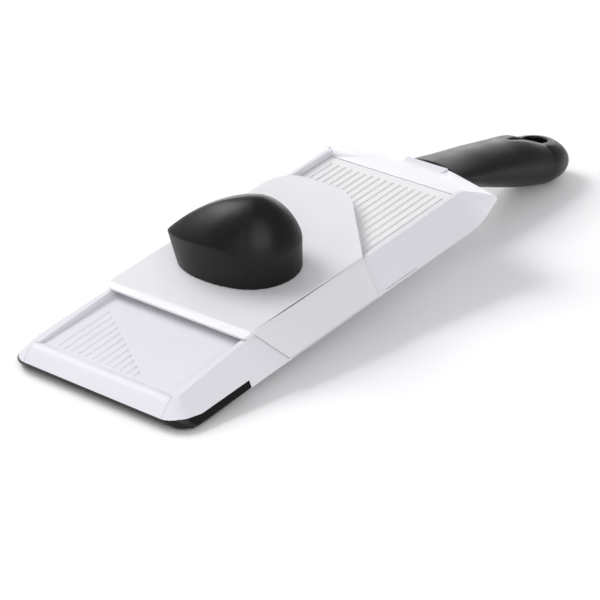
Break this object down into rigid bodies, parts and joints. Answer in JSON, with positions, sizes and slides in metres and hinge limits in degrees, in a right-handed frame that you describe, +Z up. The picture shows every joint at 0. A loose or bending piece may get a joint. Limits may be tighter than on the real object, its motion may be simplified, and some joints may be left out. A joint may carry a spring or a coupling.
{
  "type": "mandoline slicer",
  "caption": "Hand-held mandoline: tilted slicing body with skewed blade, ramp set by a dial, sliding food holder with knob, soft handle and foot.",
  "frame": {"origin": "middle of the footprint, on the table that the front foot and the handle's end rest on", "axes": "+X along the length from the front lip to the handle, +Y across the body, +Z up"},
  "size_m": [0.378, 0.1212, 0.0745],
  "materials": {
    "shell_white": "satin white moulded plastic",
    "ramp_white": "bright white moulded plastic",
    "holder_frosted": "frosted translucent plastic",
    "pad_grey": "soft pale grey elastomer",
    "soft_black": "soft-touch black elastomer",
    "dial_black": "matte black moulded plastic",
    "cam_plastic": "matte grey engineering plastic",
    "mark_grey": "matte grey raised dots",
    "blade_steel": "ground stainless steel",
    "screw_steel": "stainless steel"
  },
  "bodies": {
    "frame": {"main_frame": "shell_white", "landing_plate": "shell_white", "front_foot": "soft_black", "bowl_rest_pads": "pad_grey", "blade": "blade_steel", "blade_carrier": "shell_white", "blade_screws": "screw_steel", "ramp_hinge_pins": "screw_steel", "detent_spring": "screw_steel", "thickness_marks": "mark_grey", "handle_tang": "shell_white", "handle_screws": "screw_steel", "handle_grip": "soft_black"},
    "ramp": {"ramp_plate": "ramp_white", "cam_follower": "cam_plastic"},
    "dial": {"thickness_cam": "cam_plastic", "thickness_dial": "dial_black", "dial_grip_ring": "soft_black", "dial_screw": "screw_steel"},
    "food_holder": {"food_holder_plate": "holder_frosted", "food_pins": "screw_steel", "knob_core": "cam_plastic", "knob_grip": "soft_black", "holder_screws": "screw_steel"}
  },
  "joints": [
    {"name": "dial_turn", "type": "hinge", "parent": "frame", "child": "dial", "pos_m": [0.00061, 0, 0.0225], "axis": [-0.1374, 0, 0.9905], "range_deg": [0, 270]},
    {"name": "ramp_tilt", "type": "hinge", "parent": "frame", "child": "ramp", "pos_m": [0.03617, 0, 0.03905], "axis": [0, -1, 0], "range_deg": [0, 2.4]},
    {"name": "food_holder_slide", "type": "slide", "parent": "frame", "child": "food_holder", "axis": [0.9905, 0, 0.1374], "range_m": [-0.058, 0.034]}
  ],
  "couplings": [
    {"joint": "ramp_tilt", "follows": "dial_turn", "ratio": 0.0088889}
  ]
}
